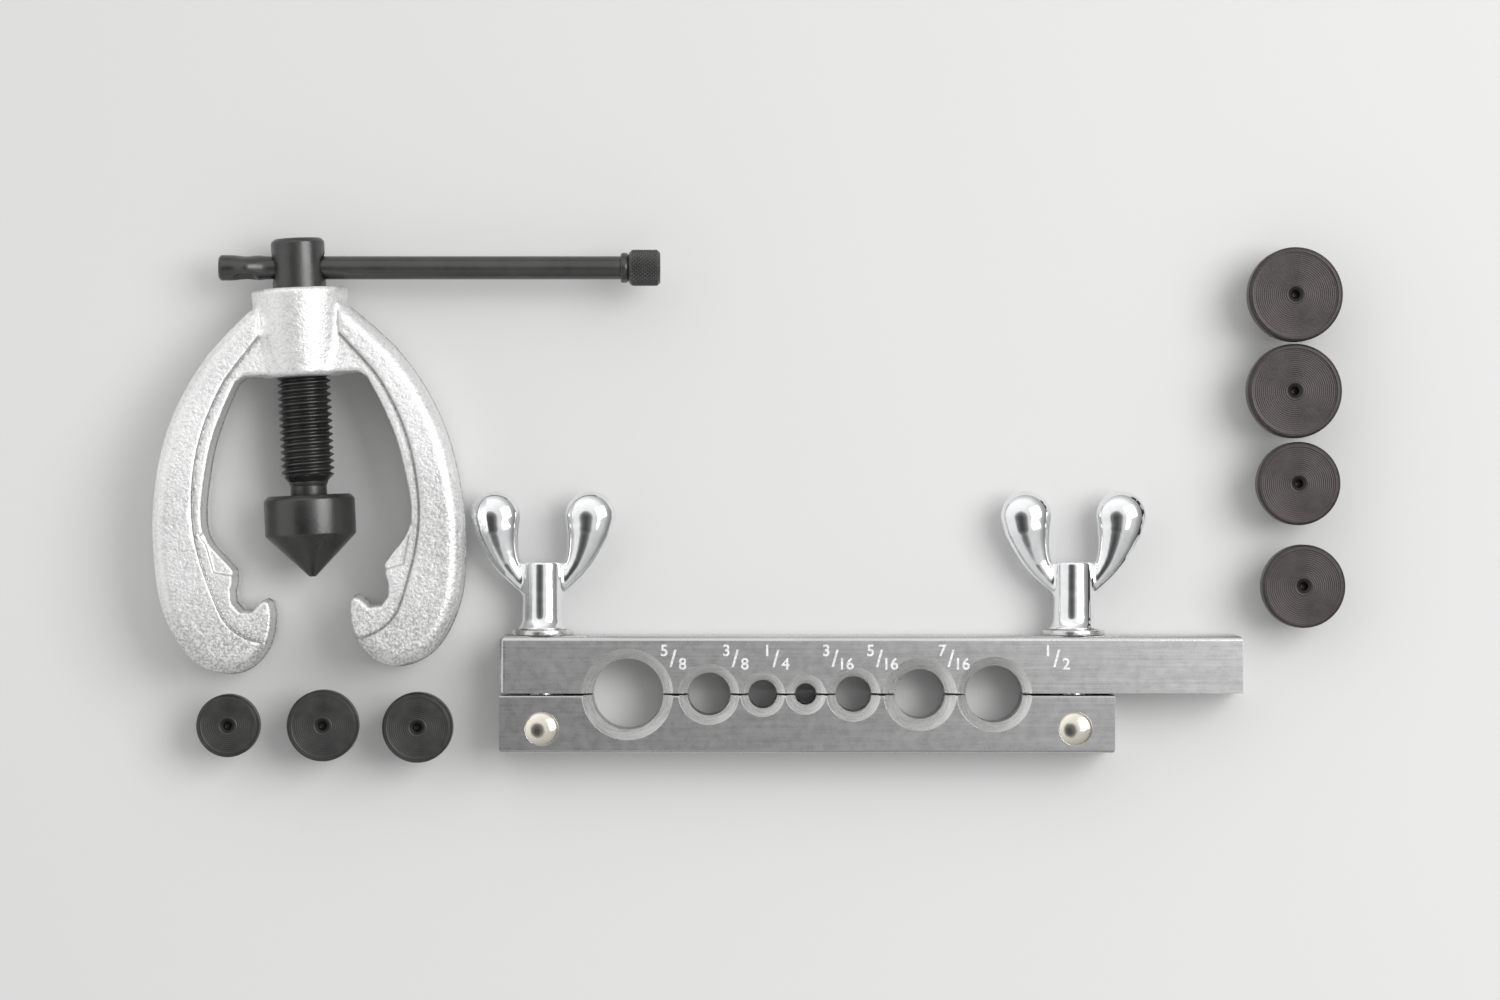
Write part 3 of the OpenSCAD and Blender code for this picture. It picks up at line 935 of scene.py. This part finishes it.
def make_pin(side):
    """A pin with a polished dome on top. Its lower end stays inside the jaw."""
    node = f"{side}_pivot_pin"
    c = centre(node)
    shank_r, dome_r, dome = 2.5, 3.8, 1.28
    prof = [(0, 0.12), (2.2, 0.12), (shank_r, 0.4), (shank_r, bar_t), (3.72, bar_t + 0.02),
            (dome_r, bar_t + 0.12)]
    prof += [(dome_r * math.cos(q), bar_t + dome * math.sin(q) ** 1.15)
             for q in np.linspace(0.12, math.pi / 2, 20)]
    prof[-1] = (0, prof[-1][1])
    ob = turned(f"{side}_pin_dome", prof, PIN, Matrix.Translation((c.x * MM, c.y * MM, 0)),
                72, 0, angle=40)
    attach(ob, "lower_jaw")
    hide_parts(node)


def make_fasteners():
    up = Matrix.Rotation(math.radians(-90), 4, "X")
    for side, x in zip(("left", "right"), bolt_x):
        def at(y):
            return Matrix.Translation((x * MM, y * MM, bar_t / 2 * MM)) @ up
        make_washer(side, at)
        make_eye_bolt(side, at)
        make_pin(side)


make_fasteners()


# ---------------------------------------------------------------- size marks on the long jaw

def glyph(text, x, y, size, z):
    cu = bpy.data.curves.new("mark", "FONT")
    cu.body = text
    cu.size = size * MM
    cu.extrude = 0.012 * MM
    cu.offset = 0.06 * MM
    ob = bpy.data.objects.new("mark", cu)
    bpy.context.scene.collection.objects.link(ob)
    ob.location = (x * MM, y * MM, z * MM)
    bpy.context.view_layer.update()
    dg = bpy.context.evaluated_depsgraph_get()
    me = bpy.data.meshes.new_from_object(ob.evaluated_get(dg))
    me.transform(ob.matrix_world)
    bpy.data.objects.remove(ob)
    out = bpy.data.objects.new("mark", me)
    bpy.context.scene.collection.objects.link(out)
    me.materials.clear()
    me.materials.append(MARK)
    return out


def make_marks():
    z = bar_t + 0.004
    digit, stroke = 3.6, 5.4
    base = parting + 5.6
    # how far right of its hole each mark stands, and the two numbers of its fraction
    fractions = ((7.3, "5", "8"), (3.0, "3", "8"), (0.1, "1", "4"), (3.7, "3", "16"),
                 (2.9, "5", "16"), (4.0, "7", "16"), (11.0, "1", "2"))
    parts = []
    for hole_x, (right, top, bottom) in zip(tube_x, fractions):
        x = hole_x + right
        parts.append(glyph(top, x, base + 3.0, digit, z))
        parts.append(glyph("/", x + 2.1, base + 0.6, stroke, z))
        parts.append(glyph(bottom, x + (3.5 if len(bottom) > 1 else 4.1), base, digit, z))
    ob = join("size_marks", parts)
    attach(ob, "bar")


make_marks()


# ---------------------------------------------------------------- feed screw, cone, T-bar

def make_screw():
    """The head with its cross hole, the threaded shank and the grooved nose."""
    r, top = 5.98, 11.05
    hole_r, thread_end = 3.27, -43.55
    body = turned("head", [(0, -3.4), (r - 0.1, -3.4), (r, -2.4), (r, top - 0.8), (r - 0.8, top),
                           (0, top)], BLACK, ALONG, 96, 0.35, 4)
    verts, faces = lathe_arrays([(0, -9), (hole_r, -9), (hole_r, 9), (0, 9)], 48)
    tool = finish_mesh("tool", verts, faces, BLACK, YK @ Matrix.Translation(
        (0, centre("t_bar_rod").y * MM - feed_at.y, 0))
                       @ Matrix.Rotation(math.radians(90), 4, "Y"))
    cut(body, tool)
    soften(body, 0.25, 50)
    paint(body, BLACK)
    shade(body, 32)
    screw = grid_turned("screw", thread_end, -3.2, 400, 96,
                        thread(1.5, 5.97, 5.02, thread_end, 99, 1.75, 4.2), BLACK, ALONG,
                        (True, True), 60)
    nose = turned("nose", [(0, -51.88), (3.7, -51.88), (4.08, -51.5), (4.08, -49.6), (3.3, -49.6),
                           (3.3, -48.4), (4.08, -48.4), (4.08, -44.4), (4.5, -43.4), (0, -43.0)],
                  BLACK, ALONG, 72, 0.15, 2)
    ob = join("feed_screw_turned", [body, screw, nose])
    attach(ob, "screw")
    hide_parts("feed_screw")


def make_cone():
    """The flaring cone, hollow where it turns on the screw's nose and the ball."""
    tip, ball_r, ball_at = -64.7, 2.06, -53.95
    prof = [(0, tip), (0.75, tip + 0.02), (10.18, -55.3), (10.18, -47.4), (9.18, -46.42),
            (4.6, -46.42), (4.16, -46.85), (4.16, -48.15), (5.04, -48.15), (5.04, -49.85),
            (4.16, -49.85), (4.16, -52.4), (ball_r, -52.4)]
    prof += [(ball_r * math.cos(q), ball_at - ball_r * math.sin(q)) for q in
             np.linspace(0, math.pi / 2, 8)]
    prof[-1] = (0, prof[-1][1])
    ob = turned("flaring_cone_turned", prof, CONE, ALONG, 128, 0.22, 3, angle=28)
    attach(ob, "cone")
    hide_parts("flaring_cone")


make_screw()
make_cone()


def make_t_bar():
    a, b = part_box("t_bar_rod")
    c = (a + b) / 2
    at = Matrix.Translation((a.x, c.y, c.z)) @ Matrix.Rotation(math.radians(90), 4, "Y")
    length = (b.x - a.x) / MM

    def rod(T, Z):
        r = np.full(T.shape, 2.6)
        # a rounded end where the rod starts
        r = r - np.clip(0.5 - Z, 0, 1) * 0.9
        # swaged end: pinched in the middle so that two ears stand out front and back
        w = np.exp(-((Z - 6.2) / 2.1) ** 2)
        swell = 1 / (1 + np.exp((Z - 9.6) * 2.4))
        r = r + 0.26 * swell
        ears = np.abs(np.cos(T)) ** 3
        r = r + w * (1.1 * ears - 0.3 * np.abs(np.sin(T)) ** 4)
        turn = np.angle(np.exp(1j * (T + 2.15)))
        dent = np.exp(-((Z - 5.9) / 2.2) ** 4) * np.exp(-(turn / 0.52) ** 4)
        return r - 1.25 * dent
    ob = grid_turned("t_bar_rod_swaged", 0, length, 520, 72, rod, BLACK, at, (True, True), 50)
    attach(ob, "t_bar")
    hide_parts("t_bar_rod")

    a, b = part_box("t_bar_knob")
    c = (a + b) / 2
    at = Matrix.Translation((a.x, c.y, c.z)) @ Matrix.Rotation(math.radians(90), 4, "Y")
    collar = turned("collar", [(2.62, 0.02), (3.1, 0.02), (3.38, 0.3), (3.38, 1.3), (3.0, 1.75),
                               (3.0, 2.2), (2.62, 2.2)], BLACK, at, 96, 0.15, 2)

    grip_low, grip_high, ridges = 1.9, 8.85, 28

    def knurl(T, Z):
        n = ridges
        a = (n * T / (2 * math.pi) + Z / 0.98) % 1.0
        b = (n * T / (2 * math.pi) - Z / 0.98) % 1.0
        g = np.maximum(np.abs(2 * a - 1), np.abs(2 * b - 1))
        r = 4.07 - 0.34 * np.clip(g * 1.35 - 0.35, 0, 1)
        edge = np.minimum(Z - grip_low, grip_high - Z)
        return np.minimum(r, 3.4 + np.clip(edge, 0, 1) * 0.9)
    grip = grid_turned("grip", grip_low, grip_high, 150, ridges * 10, knurl, BLACK, at,
                       (True, True), 180)
    ob = join("t_bar_knob_knurled", [collar, grip])
    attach(ob, "t_bar")
    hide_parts("t_bar_knob")


make_t_bar()


# ---------------------------------------------------------------- adapters

def make_adapters():
    """Seven discs, each with a step under it and a stem that fits its tube."""
    stem_r = {m["name"].removeprefix("pilot_"): m["dims"]["r_mm"]
              for m in frame["record"]["mounts"] if m["name"].startswith("pilot_")}
    stem_top, step_top = 5.0, 7.0
    for size, step_d in (("5_8", 15.2), ("1_2", 12.1), ("7_16", 10.6), ("3_8", 9.0),
                         ("3_16", 4.6), ("1_4", 6.0), ("5_16", 7.5)):
        node = f"adapter_{size}"
        a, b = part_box(node)
        c = (a + b) / 2
        disc = (b.x - a.x) / 2 / MM
        top = b.z / MM
        step, stem = step_d / 2, stem_r[size]
        prof = [(0, 0.01), (stem - 0.4, 0.01), (stem, 0.4), (stem, stem_top),
                (step - 0.3, stem_top), (step, stem_top + 0.3), (step, step_top),
                (disc - 0.55, step_top), (disc - 0.02, step_top + 0.55),
                (disc - 0.02, top - 0.55), (disc - 0.55, top - 0.02),
                (disc - 1.1, top - 0.03), (disc - 1.3, top - 0.10),
                (2.15, top - 0.10), (2.0, top - 0.03), (1.75, top - 0.03), (0.95, top - 0.9),
                (0.95, top - 3.2), (0, top - 3.6)]
        mat = ADAPTER_WARM if c.x > 0 else ADAPTER
        ob = turned(f"{node}_turned", prof, mat, Matrix.Translation((c.x, c.y, 0)), 112,
                    0.18, 3, angle=30)
        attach(ob, f"{node}_piece")
        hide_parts(node)


make_adapters()

# hidden inner pieces keep their CAD shape
for node, mat, slot in (("thrust_ball", CHROME, "ball_steel"),
                        ("retaining_ring", BLACK, "spring_steel")):
    ob = frame["nodes"][node]
    paint(ob, mat)
    m = ob.modifiers.new("weld", "WELD")
    m.merge_threshold = 1e-6
    shade(ob, 40)

# ---------------------------------------------------------------- stage

floor_mat = Nodes("pale_floor", (0.72, 0.72, 0.715), 0.0, 0.7)
floor_mat.color(floor_mat.ramp(floor_mat.noise(1.2, 2, 0.5), [(0.3, (0.72, 0.72, 0.715)),
                                                            (0.7, (0.73, 0.73, 0.725))]))
floor = finish_mesh("floor", [(-4, -4, -0.0001), (4, -4, -0.0001), (4, 4, -0.0001),
                              (-4, 4, -0.0001)], [(0, 1, 2, 3)], floor_mat.mat, None, 30, False)

scene = bpy.context.scene
world = bpy.data.worlds.new("studio")
scene.world = world
world.use_nodes = True
sky_tree = world.node_tree
sky_place = sky_tree.nodes.new("ShaderNodeTexCoord")


def facing(direction):
    """How far a direction of the surroundings points along the given one, from -1 to 1."""
    n = sky_tree.nodes.new("ShaderNodeVectorMath")
    n.operation = "DOT_PRODUCT"
    n.inputs[1].default_value = Vector(direction).normalized()
    sky_tree.links.new(sky_place.outputs["Generated"], n.inputs[0])
    return n.outputs["Value"]


def levels(value, stops):
    r = sky_tree.nodes.new("ShaderNodeValToRGB")
    r.color_ramp.interpolation = "EASE"
    e = r.color_ramp.elements
    while len(e) < len(stops):
        e.new(0.5)
    for el, (p, c) in zip(e, stops):
        el.position = p
        el.color = (c, c, c, 1)
    sky_tree.links.new(value, r.inputs["Fac"])
    return r.outputs["Color"]


# a dark patch near straight up lets the flat jaws read as grey steel, and the rest is bright
overhead = levels(facing((-0.28, -0.13, 1.0)), [(0.0, 0.50), (0.20, 0.72), (0.45, 1.05),
                                              (0.90, 1.0), (0.968, 0.20), (1.0, 0.08)])
side = sky_tree.nodes.new("ShaderNodeMapRange")
side.inputs["From Min"].default_value = -1
side.inputs["To Min"].default_value = 0.32
side.inputs["To Max"].default_value = 1.10
sky_tree.links.new(facing((-0.45, 0.85, 0.25)), side.inputs["Value"])
sky = sky_tree.nodes.new("ShaderNodeVectorMath")
sky.operation = "SCALE"
sky_tree.links.new(overhead, sky.inputs[0])
sky_tree.links.new(side.outputs["Result"], sky.inputs["Scale"])
sky_tree.links.new(sky.outputs["Vector"], sky_tree.nodes["Background"].inputs["Color"])
sky_tree.nodes["Background"].inputs["Strength"].default_value = 1.0


def softbox(name, place, target, width, height, power):
    li = bpy.data.lights.new(name, "AREA")
    li.shape = "RECTANGLE"
    li.size, li.size_y = width, height
    li.energy = power
    ob = bpy.data.objects.new(name, li)
    scene.collection.objects.link(ob)
    ob.location = place
    ob.rotation_euler = (Vector(target) - Vector(place)).to_track_quat("-Z", "Y").to_euler()


softbox("key", (0.72, 0.26, 1.0), (0, 0, 0), 0.8, 0.8, 9)

cam = bpy.data.cameras.new("camera")
cam.lens = 118
cam.sensor_width = 36
cam.clip_start = 0.02
cam.clip_end = 20
cam_ob = bpy.data.objects.new("camera", cam)
scene.collection.objects.link(cam_ob)
mid = (cad_lo + cad_hi) / 2
# straight above the middle of the tool, and far enough off for little perspective
camera_height = 1.112
cam_ob.location = (mid.x, mid.y, camera_height)
cam_ob.rotation_euler = (0, 0, 0)
scene.camera = cam_ob
scene.view_settings.view_transform = "Standard"
